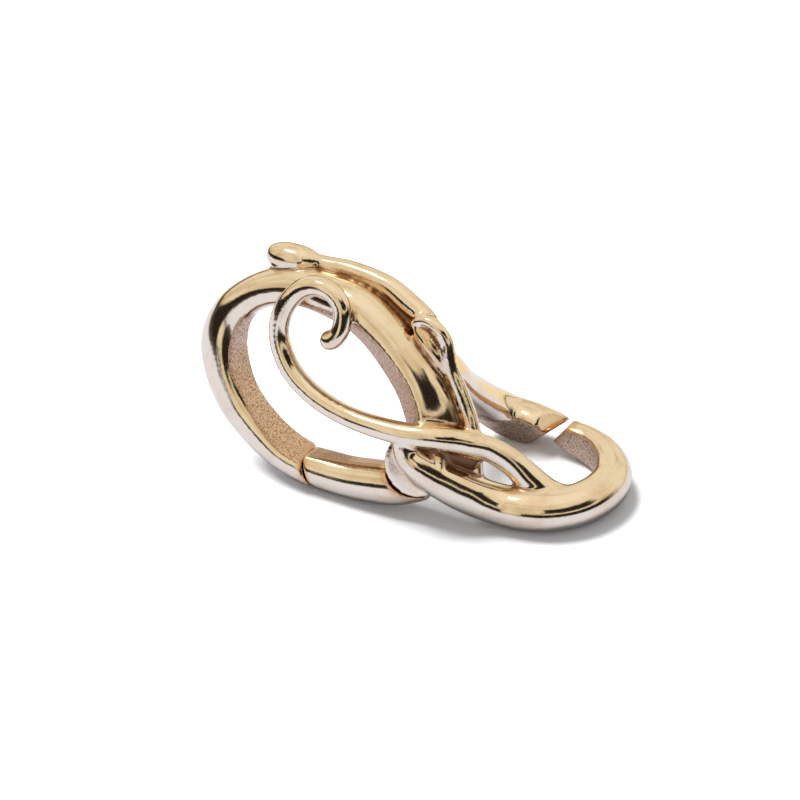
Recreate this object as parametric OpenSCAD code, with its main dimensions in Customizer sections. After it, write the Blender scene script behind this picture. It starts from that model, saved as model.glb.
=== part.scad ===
// Cast gold enhancer clasp: a leaned oval ring with an inward push gate,
// a flat open hook lying under it, and tendril, rail and bud ornament.
// Sizes are in millimetres. It rests on z = 0 as it lies on a table.

/* [Big ring] */
// lean of the ring plane, back from the floor
ring_lean = 70; // [68:0.5:72]
// thickness of the ring wire, inside to outside
ring_thick = 2.7; // [2.5:0.05:2.9]
// depth of the ring wire, front to back
ring_deep = 2.9; // [2.7:0.05:3]

/* [Gate and hinge] */
// gap of the seam at the free end of the gate
seam_gap = 0.1; // [0.05:0.01:0.15]
// radius of the hinge knuckle
knuckle_r = 2.2; // [2.1:0.02:2.3]
// gap between the knuckle and the cupped end of the gate
cup_gap = 0.2; // [0.15:0.01:0.25]
// thickness of the gate tongue in the knuckle slot
tongue_thick = 1; // [0.8:0.05:1.2]
// side play of the tongue in the slot, each side
side_play = 0.05; // [0.04:0.01:0.08]
// diameter of the hinge pin
pin_d = 0.8; // [0.6:0.05:0.9]
// play of the pin in the tongue bore, all round
pin_play = 0.05; // [0.04:0.01:0.08]
// how far the gate is drawn open
gate_open = 0; // [0:1:24]

/* [Hook and arm] */
// thickness of the hook wire, inside to outside
hook_thick = 2.9; // [2.8:0.05:3]
// depth of the hook wire, top to bottom
hook_deep = 2.9; // [2.8:0.05:3]
// gap of the slanted slit between arm and hook
slit_gap = 0.6; // [0.4:0.05:0.8]

/* [Ornament] */
// wire of the curled tendril
tendril_d = 1.45; // [1.3:0.05:1.5]
// wire of the rail and the knob on its end
rail_d = 1.3; // [1.2:0.05:1.4]
// wire of the bud stem
stem_d = 1; // [0.9:0.05:1.1]

/* [Hidden] */
$fa = 6;
$fs = 0.05;

// from the sketch frame of the tables to the rest on the floor
rest_shift = [-0.95, 1.9, 0.0165];
// the ring plane: its sketch origin, centre of the hole, hinge pivot
ring_at = [-4.85, -4.83, 7.05];
hole_at = [0.5, 0];
pivot = [8.1, -3.25];
// sections drawn per table row, and points round a section
steps = 3;
ring_pts = 16;
thin_pts = 12;
// reach of cutting blocks, well past the wire
cut_size = 8;

// how far the knuckle's cheeks stand past the wire, front and back together
cheek_step = 0.1;
knuckle_deep = ring_deep + cheek_step;
// play of the slot outside the knuckle and of the tongue inside it
slot_play = 0.05;
tongue_play = 0.1;
slot_r = knuckle_r + slot_play;
tongue_r = knuckle_r - tongue_play;
cup_r = knuckle_r + cup_gap;
// radius of the seam about the pivot, its fineness, and the block that limits its cut
seam_r = 8.25;
seam_pts = 120;
seam_end_at = [0.5, -6, 0];
seam_end_size = [4, 5, cut_size];
// how far the gate's wire reaches past the cup to carry the tongue
neck_reach = 0.5;
slot_deep = tongue_thick + 2 * side_play;
bore_d = pin_d + 2 * pin_play;
// the pin stops inside the front cheek
front_cheek = 0.5;
pin_front = knuckle_deep / 2 - front_cheek;
pin_reach = 4;
// hairline round the pin where it is fixed in the cheeks
pin_fit = 0.01;

gold = "Goldenrod";
pale = "Khaki";
dark = "DarkGoldenrod";

// ring wire past the seam, over the top and down into the knuckle, in the ring plane
// columns: x, y, forward, thickness, depth (of the ring wire), flat, roll of the flat
ring_rows = [
    [1.2, -6.05, 0, 0.97, 1.06, 0.6, 15],
    [-0.2, -5.9, 0, 0.97, 1.06, 0.6, 15],
    [-1.8, -5.45, 0, 0.97, 1.06, 0.6, 15],
    [-3.63, -4.48, 0, 1.1, 1.01, 0.63, 12],
    [-5.42, -3.02, 0, 1.16, 1, 0.7, 8],
    [-6.63, -1.19, 0, 1.19, 1.05, 0.7, 12],
    [-7.22, 0.8, 0, 1.19, 1.06, 0.75, 10],
    [-6.92, 2.8, 0, 1.04, 0.97, 0.88, 10],
    [-5.85, 4.37, 0, 0.92, 0.95, 0.97, 5],
    [-4.3, 5.44, 0, 0.95, 0.97, 1, 5],
    [-2.3, 6, 0, 1.05, 1.05, 0.9, 18],
    [-0.2, 5.97, 0, 1.15, 1.1, 0.85, 30],
    [1.7, 5.7, 0, 1.25, 1.2, 0.78, 38],
    [3.4, 4.85, 0, 1.3, 1.25, 0.7, 42],
    [5.1, 3.6, 0, 1.37, 1.3, 0.65, 45],
    [6.85, 1.95, 0, 1.45, 1.3, 0.65, 45],
    [8.15, 0.1, 0, 1.6, 1.25, 0.68, 42],
    [8.85, -1.55, 0, 1.6, 1.02, 0.75, 30],
    [8.2, -3.3, 0, 0.95, 0.88, 0.85, 10],
];

// gate wire from past the seam into the hinge, same columns
gate_rows = [
    [-1.8, -5.45, 0, 1, 1, 0.66, 0],
    [-0.2, -5.9, 0, 1, 1, 0.66, 0],
    [1.4, -6.02, 0, 1.03, 1, 0.8, 0],
    [3.2, -5.98, 0, 1.05, 1, 0.88, 0],
    [4.9, -5.75, 0, 1.1, 1, 0.9, 0],
    [6.6, -5.4, 0, 1.1, 1, 0.9, 0],
    [8.4, -4.6, 0, 1, 0.95, 0.9, 0],
];

// hook round the far end of the floor ring and the near strand back to the hinge
// columns: x, y, z, way the flat looks (x, y, z), thickness, depth (of the hook wire), flat
hook_rows = [
    [8.3, 3.15, 2.1, 0, -1, 0, 0.72, 0.55, 0.6],
    [9.2, 3.1, 1.85, 0, -1, 0, 0.74, 0.66, 0.6],
    [10.2, 3.05, 1.6, 0, -1, 0, 0.76, 0.83, 0.6],
    [11.2, 2.95, 1.45, -0.1, -1, 0, 0.78, 0.93, 0.6],
    [12.5, 2.45, 1.42, -0.5, -1, 0, 0.84, 0.98, 0.65],
    [13.6, 1.4, 1.45, -1, -0.6, 0, 0.92, 1, 0.7],
    [14.12, 0.1, 1.45, -1, 0, 0, 0.96, 1, 0.8],
    [13.95, -1.45, 1.45, -1, 0.4, 0, 1, 1, 0.9],
    [13.1, -3, 1.45, -1, 1, 0, 1.03, 1, 0.95],
    [11.7, -4.2, 1.45, -0.5, 1, 0, 1.03, 1, 1],
    [10.2, -4.85, 1.45, 0, 1, 0, 1, 1, 1],
    [8.65, -5.2, 1.52, 0, 1, 0, 0.97, 0.97, 1],
    [7.2, -5.75, 2.05, 0, 1, 0.3, 0.95, 0.95, 1],
    [5.85, -6.45, 2.95, 0, 1, 0.3, 0.92, 0.92, 1],
    [4.75, -7, 3.85, 0, 1, 0.3, 0.85, 0.85, 1],
    [3.7, -7.35, 4.7, 0, 1, 0.3, 0.76, 0.76, 1],
    [2.9, -7.4, 5.4, 0, 1, 0.3, 0.66, 0.66, 1],
    [2.5, -7.3, 6.35, 0, 1, 0.3, 0.56, 0.56, 1],
];

// arm from the back of the big ring down to the slit, same columns
arm_rows = [
    [0.9, -3.1, 10.2, -0.5, -1, -0.3, 0.76, 0.9, 1],
    [1.9, -2.5, 9.9, -0.5, -1, -0.3, 0.8, 1.03, 1],
    [2.7, -1.6, 8.6, -0.5, -1, -0.2, 0.83, 1.1, 1],
    [3.1, -0.2, 6.3, -0.45, -1, -0.05, 0.83, 1.12, 1],
    [3.6, 1.2, 4.3, -0.35, -1, 0, 0.9, 1.12, 0.95],
    [4.3, 2.35, 2.7, -0.25, -1, -0.1, 0.98, 1.12, 0.78],
    [5.4, 3, 1.7, -0.1, -1, -0.2, 1.03, 1.09, 0.6],
    [6.9, 3.15, 1.55, 0, -1, -0.28, 1.03, 1.06, 0.57],
    [8.3, 3.1, 1.5, 0, -1, -0.28, 0.98, 1, 0.57],
    [9.9, 3.1, 1.5, 0, -1, -0.25, 0.92, 0.95, 0.57],
];

// curled tendril, rounded tip first, running over the ring and into the strand
// columns: x, y, z, wire (of the tendril wire)
tendril_rows = [
    [-4.2, -5.85, 11.5, 0.5],
    [-3.95, -5.85, 11.6, 0.88],
    [-3.5, -5.8, 11.8, 0.98],
    [-3.1, -5.65, 12.3, 0.9],
    [-3, -5.3, 13, 0.9],
    [-3.2, -4.9, 13.95, 0.9],
    [-4.05, -4.6, 14.7, 0.93],
    [-5.3, -4.55, 14.85, 0.96],
    [-6.5, -4.8, 14.1, 0.96],
    [-7.3, -5.4, 12.6, 1],
    [-7.3, -6, 10.75, 1],
    [-6.1, -6.7, 8.9, 1],
    [-4, -7.2, 7.7, 1],
    [-1.3, -7.45, 7.1, 1],
    [2.1, -7.35, 7, 1.1],
    [4.6, -6.7, 7, 1.14],
    [6.2, -5.6, 6.3, 1.17],
    [7.5, -4.5, 5.35, 1.2],
    [8.8, -3.85, 4.2, 1.25],
    [10, -3.6, 3, 1.4],
    [11.2, -3.4, 1.9, 1.6],
    [12.6, -3.1, 1.5, 1.6],
];

// bean-shaped knob and the rail from it to the bud, columns as above, of the rail wire
rail_rows = [
    [-10, -2, 13.95, 0.7],
    [-9.65, -2, 14.05, 1.2],
    [-8.9, -2, 14.2, 1.5],
    [-7.8, -1.9, 14.25, 1.5],
    [-7, -1.7, 14.15, 1.25],
    [-6.4, -1.5, 14.1, 0.9],
    [-4.2, -1.35, 14.25, 0.92],
    [-1.5, -1.5, 14, 1.04],
    [0.3, -1.9, 13.4, 1.1],
    [1.6, -2.25, 13, 1],
    [2.8, -2.75, 12.4, 0.8],
];

// rim of the bud and the stem down behind the tendril, of the stem wire
stem_rows = [
    [1.15, -3.1, 12.6, 0.6],
    [1.45, -2.95, 13.05, 0.75],
    [2.2, -2.9, 13.25, 0.85],
    [3.05, -3, 12.9, 0.85],
    [3.6, -3.1, 12.2, 0.9],
    [3.85, -3.3, 11.4, 1.05],
    [4.25, -3.6, 10.3, 1.05],
    [4.95, -3.9, 9.1, 1.1],
    [5.65, -4.2, 7.8, 1.15],
    [6.25, -4.6, 6.6, 1.15],
    [6.45, -4.9, 5.3, 1.2],
    [6.5, -4.95, 3.9, 1.3],
    [6.6, -4.9, 2.4, 1.3],
];

// leaf inside the bud rim, of the stem wire; its depth is leaf_deep times its thickness
leaf_rows = [
    [1.35, -3.25, 12.65, 0.4],
    [1.95, -3.35, 12.2, 0.85],
    [2.65, -3.5, 11.6, 0.95],
    [3.4, -3.7, 10.8, 0.75],
    [4.15, -3.9, 9.8, 0.45],
    [4.9, -4.1, 8.7, 0.3],
];
leaf_deep = 1.25;

// short post that carries the knob on the ring, of the rail wire
knob_post_rows = [
    [-9, -2.05, 13.9, 1.3],
    [-9, -2.1, 12.9, 1.2],
    [-8.9, -2.7, 11.9, 1.4],
    [-8.8, -3.4, 11.2, 1.4],
];

// web that closes the slot between the rail and the ring, of the rail wire
rail_web_rows = [
    [-5.5, -1.5, 13, 0.9],
    [-3.5, -1.4, 13.2, 1.1],
    [-1.5, -1.5, 12.9, 1.2],
    [0.3, -1.8, 12.3, 1.2],
    [1.8, -2.3, 11.5, 1],
];

// web behind the leaf that closes the bud, of the stem wire
bud_web_rows = [
    [1.7, -2.8, 12.6, 0.8],
    [2.5, -2.8, 12.3, 1.3],
    [3.2, -3, 11.6, 1.3],
    [3.9, -3.3, 10.5, 1],
    [4.6, -3.6, 9.3, 0.8],
];

// web that fills the crotch between tendril and strand beside the knuckle
// columns as for the hook, thickness and depth of the hook wire
web_rows = [
    [2.4, -6.9, 6.55, 0, 1, 0, 0.3, 0.4, 1],
    [3.2, -6.6, 6.05, 0, 1, 0, 0.36, 0.8, 1],
    [4.4, -6.2, 5.4, 0, 1, 0, 0.38, 1.1, 1],
    [5.6, -5.75, 4.7, 0, 1, 0, 0.35, 1.1, 1],
    [6.5, -5.2, 4.1, 0, 1, 0, 0.3, 0.9, 1],
];

// slanted end planes of arm and hook: a point on the plane and the way out of the metal;
// the hook's plane starts across the slit, a step along and up from the arm's point
arm_end = [7.8, 3, 1];
arm_end_out = [0.7, -0.28, -0.66];
hook_end_out = [-0.84, 0.09, 0.54];
hook_end_step = [0.85, 0, 1.05];
hook_end = arm_end + slit_gap * arm_end_out + hook_end_step;

// bevel on the near side of the end of the arm, cut by a smaller block
arm_bevel = [8.4, 3.2, 2.3];
arm_bevel_out = [0.73, -0.36, 0.58];
bevel_size = 4;

function unit(v) = v / norm(v);
function held(rows, i) = rows[max(0, min(len(rows) - 1, i))];
function curve(a, b, c, d, t) =
    0.5 * (2 * b + (c - a) * t + (2 * a - 5 * b + 4 * c - d) * t * t
    + (3 * b - 3 * c + d - a) * t * t * t);
function fine(rows) = [
    for (i = [0 : len(rows) - 2])
        for (j = [0 : steps - 1])
            curve(held(rows, i - 1), rows[i], rows[i + 1], held(rows, i + 2), j / steps),
    held(rows, len(rows)),
];
function spot(row) = [row[0], row[1], row[2]];
function along(rows, i) = unit(spot(held(rows, i + 1)) - spot(held(rows, i - 1)));
// the way the flat looks, squared to the wire
function square_to(f, t) = unit(f - t * (f * t));
function section(row, t, pts) =
    let (f = square_to([row[3], row[4], row[5]], t), g = cross(t, f))
    [for (k = [0 : pts - 1])
        let (a = 360 * k / pts)
        spot(row) + f * min(cos(a) * row[6] / 2, row[8] * row[6] / 2)
        + g * sin(a) * row[7] / 2];

// rows of the ring plane, turned into rows with a flat that looks at the hole
function to_hole(row) =
    let (d = unit([hole_at[0] - row[0], hole_at[1] - row[1]]), a = row[6])
    [row[0], row[1], row[2], d[0] * cos(a), d[1] * cos(a), sin(a),
    row[3] * ring_thick, row[4] * ring_deep, row[5]];
function of_hook(row) = [
    row[0], row[1], row[2], row[3], row[4], row[5],
    row[6] * hook_thick, row[7] * hook_deep, row[8],
];
function of_round(row, d, deep = 1) = [
    row[0], row[1], row[2], 0, -sin(ring_lean), cos(ring_lean),
    row[3] * d, row[3] * d * deep, 1,
];

// a wire drawn through the sections of its rows
module wire(rows, pts) {
    r = fine(rows);
    n = len(r);
    end = (n - 1) * pts;
    points = [for (i = [0 : n - 1]) each section(r[i], along(r, i), pts)];
    walls = [
        for (i = [0 : n - 2])
            for (k = [0 : pts - 1])
                let (a = i * pts + k, b = i * pts + (k + 1) % pts)
                each [[a, b + pts, b], [a, a + pts, b + pts]],
    ];
    first = [for (k = [1 : pts - 2]) [0, k, k + 1]];
    last = [for (k = [1 : pts - 2]) [end, end + k + 1, end + k]];
    polyhedron(points, concat(walls, first, last), convexity = 8);
}

module on_floor() {
    translate(rest_shift)
        children();
}

module in_ring() {
    translate(ring_at)
        rotate([ring_lean, 0, 0])
            children();
}

module at_pivot() {
    translate([pivot[0], pivot[1], 0])
        children();
}

// a block whose face passes through a point and that lies on the outer side of it
module cut_block(point, out, size = cut_size) {
    translate(point)
        rotate([0, acos(unit(out)[2]), atan2(out[1], out[0])])
            translate([-size / 2, -size / 2, 0])
                cube(size);
}

module ring_body() {
    in_ring() {
        difference() {
            wire([for (row = ring_rows) to_hole(row)], ring_pts);
            intersection() {
                at_pivot()
                    cylinder(r = seam_r + seam_gap / 2, h = cut_size, center = true,
                        $fn = seam_pts);
                translate(seam_end_at)
                    cube(seam_end_size, center = true);
            }
        }
        at_pivot()
            cylinder(r = knuckle_r, h = knuckle_deep, center = true);
    }
}

module hook_and_strand() {
    difference() {
        wire([for (row = hook_rows) of_hook(row)], ring_pts);
        cut_block(hook_end, hook_end_out);
    }
}

module arm() {
    difference() {
        wire([for (row = arm_rows) of_hook(row)], ring_pts);
        cut_block(arm_end, arm_end_out);
        cut_block(arm_bevel, arm_bevel_out, bevel_size);
    }
}

module ornament() {
    wire([for (row = tendril_rows) of_round(row, tendril_d)], thin_pts);
    wire([for (row = rail_rows) of_round(row, rail_d)], thin_pts);
    wire([for (row = stem_rows) of_round(row, stem_d)], thin_pts);
    wire([for (row = leaf_rows) of_round(row, stem_d, leaf_deep)], thin_pts);
    wire([for (row = knob_post_rows) of_round(row, rail_d)], thin_pts);
    wire([for (row = rail_web_rows) of_round(row, rail_d)], thin_pts);
    wire([for (row = bud_web_rows) of_round(row, stem_d)], thin_pts);
    wire([for (row = web_rows) of_hook(row)], thin_pts);
}

// slot for the tongue and blind bore for the pin, open at the back cheek
module hinge_cuts() {
    in_ring()
        at_pivot() {
            cylinder(r = slot_r, h = slot_deep, center = true);
            translate([0, 0, pin_front - pin_reach])
                cylinder(d = pin_d + 2 * pin_fit, h = pin_reach);
        }
}

module frame() {
    color(gold)
        on_floor()
            difference() {
                union() {
                    ring_body();
                    hook_and_strand();
                    arm();
                    ornament();
                }
                hinge_cuts();
            }
}

// the gate as it swings, about the pivot, into the ring
module swung() {
    in_ring()
        at_pivot()
            rotate([0, 0, -gate_open])
                translate([-pivot[0], -pivot[1], 0])
                    children();
}

module gate_wire() {
    wire([for (row = gate_rows) to_hole(row)], ring_pts);
}

module gate() {
    color(pale)
        on_floor()
            swung()
                difference() {
                    union() {
                        difference() {
                            intersection() {
                                gate_wire();
                                at_pivot()
                                    cylinder(r = seam_r - seam_gap / 2, h = cut_size,
                                        center = true, $fn = seam_pts);
                            }
                            at_pivot()
                                cylinder(r = cup_r, h = cut_size, center = true);
                        }
                        intersection() {
                            gate_wire();
                            at_pivot()
                                cylinder(r = cup_r + neck_reach, h = tongue_thick, center = true);
                        }
                        at_pivot()
                            cylinder(r = tongue_r, h = tongue_thick, center = true);
                    }
                    at_pivot()
                        cylinder(d = bore_d, h = cut_size, center = true);
                }
}

module hinge_pin() {
    color(dark)
        on_floor()
            in_ring()
                at_pivot()
                    translate([0, 0, -knuckle_deep / 2])
                        cylinder(d = pin_d, h = pin_front + knuckle_deep / 2);
}

frame();
gate();
hinge_pin();
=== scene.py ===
"""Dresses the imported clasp: one gold casting with its ring, hook and ornament,
the push gate, the hinge pin, and a pale table under soft studio light."""

import math

import bmesh
import bpy
import numpy as np
from mathutils import Matrix, Vector
from mathutils.kdtree import KDTree


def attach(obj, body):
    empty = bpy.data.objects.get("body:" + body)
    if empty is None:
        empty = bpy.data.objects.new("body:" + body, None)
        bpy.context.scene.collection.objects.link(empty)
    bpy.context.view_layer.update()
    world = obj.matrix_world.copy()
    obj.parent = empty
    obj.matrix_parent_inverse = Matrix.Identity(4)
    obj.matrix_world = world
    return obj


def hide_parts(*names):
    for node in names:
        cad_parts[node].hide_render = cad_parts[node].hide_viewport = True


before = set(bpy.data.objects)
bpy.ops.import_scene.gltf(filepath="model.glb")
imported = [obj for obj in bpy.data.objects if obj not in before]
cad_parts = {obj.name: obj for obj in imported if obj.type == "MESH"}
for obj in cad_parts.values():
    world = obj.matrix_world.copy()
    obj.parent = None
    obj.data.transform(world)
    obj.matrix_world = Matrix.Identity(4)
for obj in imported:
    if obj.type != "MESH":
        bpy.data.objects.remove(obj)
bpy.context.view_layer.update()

bl_info = {
    "name": "Gold Necklace Clasp",
    "version": (1, 0, 0),
    "blender": (4, 5, 0),
    "location": "View3D > Sidebar > Clasp",
    "description": "A cast necklace clasp with a push-gate ring, a hook and tendril ornament",
    "category": "Add Mesh",
}

# The wires are drawn in millimetres, in the sketch frame of the tables, then brought
# to the frame's metres and place.
MM = 0.001
REST_SHIFT = (-0.95, 1.9, 0.0165)
RING_AT = (-4.85, -4.83, 7.05)
RING_LEAN = math.radians(70)
HOLE_AT = (0.5, 0.0)
PIVOT = (8.1, -3.25)

# Ring wire in the ring plane, past the seam, over the top, down into the knuckle.
# Columns: x, y, forward, thickness, depth (of the ring wire), flat, roll of the flat
RING_ROWS = (
    (1.2, -6.05, 0, 0.97, 1.06, 0.6, 15),
    (-0.2, -5.9, 0, 0.97, 1.06, 0.6, 15),
    (-1.8, -5.45, 0, 0.97, 1.06, 0.6, 15),
    (-3.63, -4.48, 0, 1.1, 1.01, 0.63, 12),
    (-5.42, -3.02, 0, 1.16, 1, 0.7, 8),
    (-6.63, -1.19, 0, 1.19, 1.05, 0.7, 12),
    (-7.22, 0.8, 0, 1.19, 1.06, 0.75, 10),
    (-6.92, 2.8, 0, 1.04, 0.97, 0.88, 10),
    (-5.85, 4.37, 0, 0.92, 0.95, 0.97, 5),
    (-4.3, 5.44, 0, 0.95, 0.97, 1, 5),
    (-2.3, 6, 0, 1.05, 1.05, 0.9, 18),
    (-0.2, 5.97, 0, 1.15, 1.1, 0.85, 30),
    (1.7, 5.7, 0, 1.25, 1.2, 0.78, 38),
    (3.4, 4.85, 0, 1.3, 1.25, 0.7, 42),
    (5.1, 3.6, 0, 1.37, 1.3, 0.65, 45),
    (6.85, 1.95, 0, 1.45, 1.3, 0.65, 45),
    (8.15, 0.1, 0, 1.6, 1.25, 0.68, 42),
    (8.85, -1.55, 0, 1.6, 1.02, 0.75, 30),
    (8.2, -3.3, 0, 0.95, 0.88, 0.85, 10),
)

# Gate wire from past the seam into the hinge, same columns.
GATE_ROWS = (
    (-1.8, -5.45, 0, 1, 1, 0.66, 0),
    (-0.2, -5.9, 0, 1, 1, 0.66, 0),
    (1.4, -6.02, 0, 1.03, 1, 0.8, 0),
    (3.2, -5.98, 0, 1.05, 1, 0.88, 0),
    (4.9, -5.75, 0, 1.1, 1, 0.9, 0),
    (6.6, -5.4, 0, 1.1, 1, 0.9, 0),
    (8.4, -4.6, 0, 1, 0.95, 0.9, 0),
)

# Hook round the far end of the flat ring, then the near strand back to the hinge.
# Columns: x, y, z, way the flat looks (x, y, z), thickness, depth (of the hook wire), flat
HOOK_ROWS = (
    (8.3, 3.15, 2.1, 0, -1, 0, 0.72, 0.55, 0.6),
    (9.2, 3.1, 1.85, 0, -1, 0, 0.74, 0.66, 0.6),
    (10.2, 3.05, 1.6, 0, -1, 0, 0.76, 0.83, 0.6),
    (11.2, 2.95, 1.45, -0.1, -1, 0, 0.78, 0.93, 0.6),
    (12.5, 2.45, 1.42, -0.5, -1, 0, 0.84, 0.98, 0.65),
    (13.6, 1.4, 1.45, -1, -0.6, 0, 0.92, 1, 0.7),
    (14.12, 0.1, 1.45, -1, 0, 0, 0.96, 1, 0.8),
    (13.95, -1.45, 1.45, -1, 0.4, 0, 1, 1, 0.9),
    (13.1, -3, 1.45, -1, 1, 0, 1.03, 1, 0.95),
    (11.7, -4.2, 1.45, -0.5, 1, 0, 1.03, 1, 1),
    (10.2, -4.85, 1.45, 0, 1, 0, 1, 1, 1),
    (8.65, -5.2, 1.52, 0, 1, 0, 0.97, 0.97, 1),
    (7.2, -5.75, 2.05, 0, 1, 0.3, 0.95, 0.95, 1),
    (5.85, -6.45, 2.95, 0, 1, 0.3, 0.92, 0.92, 1),
    (4.75, -7, 3.85, 0, 1, 0.3, 0.85, 0.85, 1),
    (3.7, -7.35, 4.7, 0, 1, 0.3, 0.76, 0.76, 1),
    (2.9, -7.4, 5.4, 0, 1, 0.3, 0.66, 0.66, 1),
    (2.5, -7.3, 6.35, 0, 1, 0.3, 0.56, 0.56, 1),
)

# Arm from the back of the big ring down to the slit, same columns.
ARM_ROWS = (
    (0.9, -3.1, 10.2, -0.5, -1, -0.3, 0.76, 0.9, 1),
    (1.9, -2.5, 9.9, -0.5, -1, -0.3, 0.8, 1.03, 1),
    (2.7, -1.6, 8.6, -0.5, -1, -0.2, 0.83, 1.1, 1),
    (3.1, -0.2, 6.3, -0.45, -1, -0.05, 0.83, 1.12, 1),
    (3.6, 1.2, 4.3, -0.35, -1, 0, 0.9, 1.12, 0.95),
    (4.3, 2.35, 2.7, -0.25, -1, -0.1, 0.98, 1.12, 0.78),
    (5.4, 3, 1.7, -0.1, -1, -0.2, 1.03, 1.09, 0.6),
    (6.9, 3.15, 1.55, 0, -1, -0.28, 1.03, 1.06, 0.57),
    (8.3, 3.1, 1.5, 0, -1, -0.28, 0.98, 1, 0.57),
    (9.9, 3.1, 1.5, 0, -1, -0.25, 0.92, 0.95, 0.57),
)

# Web in the crotch between tendril and strand, same columns.
WEB_ROWS = (
    (2.4, -6.9, 6.55, 0, 1, 0, 0.3, 0.4, 1),
    (3.2, -6.6, 6.05, 0, 1, 0, 0.36, 0.8, 1),
    (4.4, -6.2, 5.4, 0, 1, 0, 0.38, 1.1, 1),
    (5.6, -5.75, 4.7, 0, 1, 0, 0.35, 1.1, 1),
    (6.5, -5.2, 4.1, 0, 1, 0, 0.3, 0.9, 1),
)

# Curled tendril, rounded tip first. Columns: x, y, z, share of the tendril wire
TENDRIL_ROWS = (
    (-4.2, -5.85, 11.5, 0.5),
    (-3.95, -5.85, 11.6, 0.88),
    (-3.5, -5.8, 11.8, 0.98),
    (-3.1, -5.65, 12.3, 0.9),
    (-3, -5.3, 13, 0.9),
    (-3.2, -4.9, 13.95, 0.9),
    (-4.05, -4.6, 14.7, 0.93),
    (-5.3, -4.55, 14.85, 0.96),
    (-6.5, -4.8, 14.1, 0.96),
    (-7.3, -5.4, 12.6, 1),
    (-7.3, -6, 10.75, 1),
    (-6.1, -6.7, 8.9, 1),
    (-4, -7.2, 7.7, 1),
    (-1.3, -7.45, 7.1, 1),
    (2.1, -7.35, 7, 1.1),
    (4.6, -6.7, 7, 1.14),
    (6.2, -5.6, 6.3, 1.17),
    (7.5, -4.5, 5.35, 1.2),
    (8.8, -3.85, 4.2, 1.25),
    (10, -3.6, 3, 1.4),
    (11.2, -3.4, 1.9, 1.6),
    (12.6, -3.1, 1.5, 1.6),
)

# Bean-shaped knob and the rail from it to the bud, shares of the rail wire.
RAIL_ROWS = (
    (-10, -2, 13.95, 0.7),
    (-9.65, -2, 14.05, 1.2),
    (-8.9, -2, 14.2, 1.5),
    (-7.8, -1.9, 14.25, 1.5),
    (-7, -1.7, 14.15, 1.25),
    (-6.4, -1.5, 14.1, 0.9),
    (-4.2, -1.35, 14.25, 0.92),
    (-1.5, -1.5, 14, 1.04),
    (0.3, -1.9, 13.4, 1.1),
    (1.6, -2.25, 13, 1),
    (2.8, -2.75, 12.4, 0.8),
)

# Post that carries the knob on the ring, shares of the rail wire.
KNOB_POST_ROWS = (
    (-9, -2.05, 13.9, 1.3),
    (-9, -2.1, 12.9, 1.2),
    (-8.9, -2.7, 11.9, 1.4),
    (-8.8, -3.4, 11.2, 1.4),
)

# Rim of the bud and the stem down behind the tendril, shares of the stem wire.
STEM_ROWS = (
    (1.15, -3.1, 12.6, 0.6),
    (1.45, -2.95, 13.05, 0.75),
    (2.2, -2.9, 13.25, 0.85),
    (3.05, -3, 12.9, 0.85),
    (3.6, -3.1, 12.2, 0.9),
    (3.85, -3.3, 11.4, 1.05),
    (4.25, -3.6, 10.3, 1.05),
    (4.95, -3.9, 9.1, 1.1),
    (5.65, -4.2, 7.8, 1.15),
    (6.25, -4.6, 6.6, 1.15),
    (6.45, -4.9, 5.3, 1.2),
    (6.5, -4.95, 3.9, 1.3),
    (6.6, -4.9, 2.4, 1.3),
)

# Leaf inside the bud rim, shares of the stem wire.
LEAF_ROWS = (
    (1.35, -3.25, 12.65, 0.4),
    (1.95, -3.35, 12.2, 0.85),
    (2.65, -3.5, 11.6, 0.95),
    (3.4, -3.7, 10.8, 0.75),
    (4.15, -3.9, 9.8, 0.45),
    (4.9, -4.1, 8.7, 0.3),
)
LEAF_DEEP = 1.25

# Web that closes the slot between the rail and the ring, shares of the rail wire.
RAIL_WEB_ROWS = (
    (-5.5, -1.5, 13, 0.9),
    (-3.5, -1.4, 13.2, 1.1),
    (-1.5, -1.5, 12.9, 1.2),
    (0.3, -1.8, 12.3, 1.2),
    (1.8, -2.3, 11.5, 1),
)

# Web behind the leaf that closes the bud, shares of the stem wire.
BUD_WEB_ROWS = (
    (1.7, -2.8, 12.6, 0.8),
    (2.5, -2.8, 12.3, 1.3),
    (3.2, -3, 11.6, 1.3),
    (3.9, -3.3, 10.5, 1),
    (4.6, -3.6, 9.3, 0.8),
)

# Slanted end planes of arm and hook: a point on the plane and the way out of the metal.
ARM_END = Vector((7.8, 3, 1))
ARM_END_OUT = Vector((0.7, -0.28, -0.66))
HOOK_END_OUT = Vector((-0.84, 0.09, 0.54))
HOOK_END_STEP = Vector((0.85, 0, 1.05))
# Bevel on the near side of the arm's end.
ARM_BEVEL = Vector((8.4, 3.2, 2.3))
ARM_BEVEL_OUT = Vector((0.73, -0.36, 0.58))
BEVEL_SIZE = 4

# A point belongs to a wire's section up to this far along the wire, in millimetres.
END_REACH = 0.3
# Cosines between which a face turns from back to front, and from side to flat, and how
# much of a wire has to be cut away for its flat to be a matte wall.
FRONT_EDGE = (-0.4, 0.2)
WALL_FACING = (0.66, 0.90)
WALL_CUT = (0.03, 0.1)
# A cut face's full stain reaches this far, in millimetres.
CUT_FACE = 0.1

# Sections drawn for each row of a table and points round a section.
STEPS = 10
SECTION_POINTS = 64
CUT_SIZE = 8.0
DRUM_SIDES = 128
# Hinge fits, in millimetres: knuckle over ring depth, then on the radius slot over knuckle,
# tongue under knuckle, pin in the cheeks and in the tongue, then front cheek left whole,
# length of the pin's bore, and reach of the gate's neck past the cup.
CHEEK_STEP = 0.1
SLOT_PLAY = 0.05
TONGUE_PLAY = 0.1
PIN_FIT = 0.03
TONGUE_BORE_FIT = 0.05
FRONT_CHEEK = 0.5
PIN_REACH = 4.0
NECK_REACH = 0.5
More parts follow.
